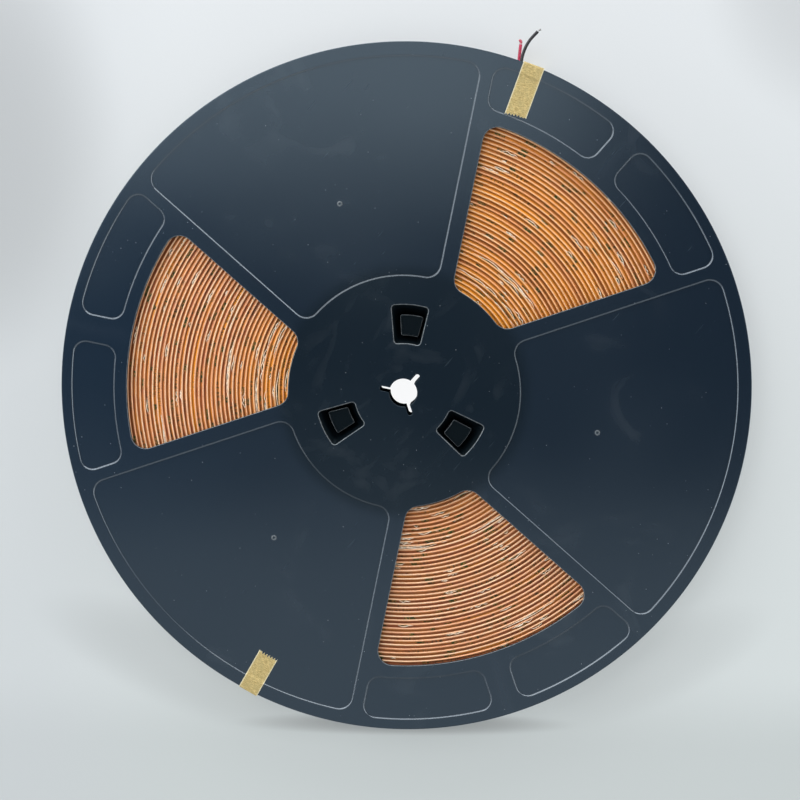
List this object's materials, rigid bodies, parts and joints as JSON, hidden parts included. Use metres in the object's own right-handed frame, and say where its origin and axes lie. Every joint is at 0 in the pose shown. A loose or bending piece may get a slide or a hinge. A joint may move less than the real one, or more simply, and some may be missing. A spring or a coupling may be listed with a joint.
{
  "type": "led strip light reel",
  "caption": "Flat round plastic reel with windows and a keyed arbor hole, wound full of LED strip light, its end taped over the rim with two leads out.",
  "frame": {"origin": "on the reel's axis, at the lowest face, which is the tape's outer face on the rear flange", "axes": "+Z along the reel's axis towards the front flange; +Y through the middle of one window"},
  "size_m": [0.33, 0.3359, 0.0154],
  "materials": {
    "reel_plastic": "blue-black moulded polystyrene, semi-gloss, lightly scuffed",
    "led_strip": "white strip edges over an orange phosphor band, satin",
    "masking_tape": "creped paper tape, matt",
    "red_insulation": "extruded PVC, satin",
    "black_insulation": "extruded PVC, satin",
    "tinned_copper": "tinned copper and solder, dull bright"
  },
  "bodies": {
    "root": {"front_flange": "reel_plastic", "rear_flange": "reel_plastic", "led_strip_roll": "led_strip", "upper_tape": "masking_tape", "lower_tape": "masking_tape", "red_lead": "red_insulation", "black_lead": "black_insulation", "red_lead_tip": "tinned_copper", "black_lead_tip": "tinned_copper", "red_solder_joint": "tinned_copper", "black_solder_joint": "tinned_copper"}
  },
  "joints": []
}
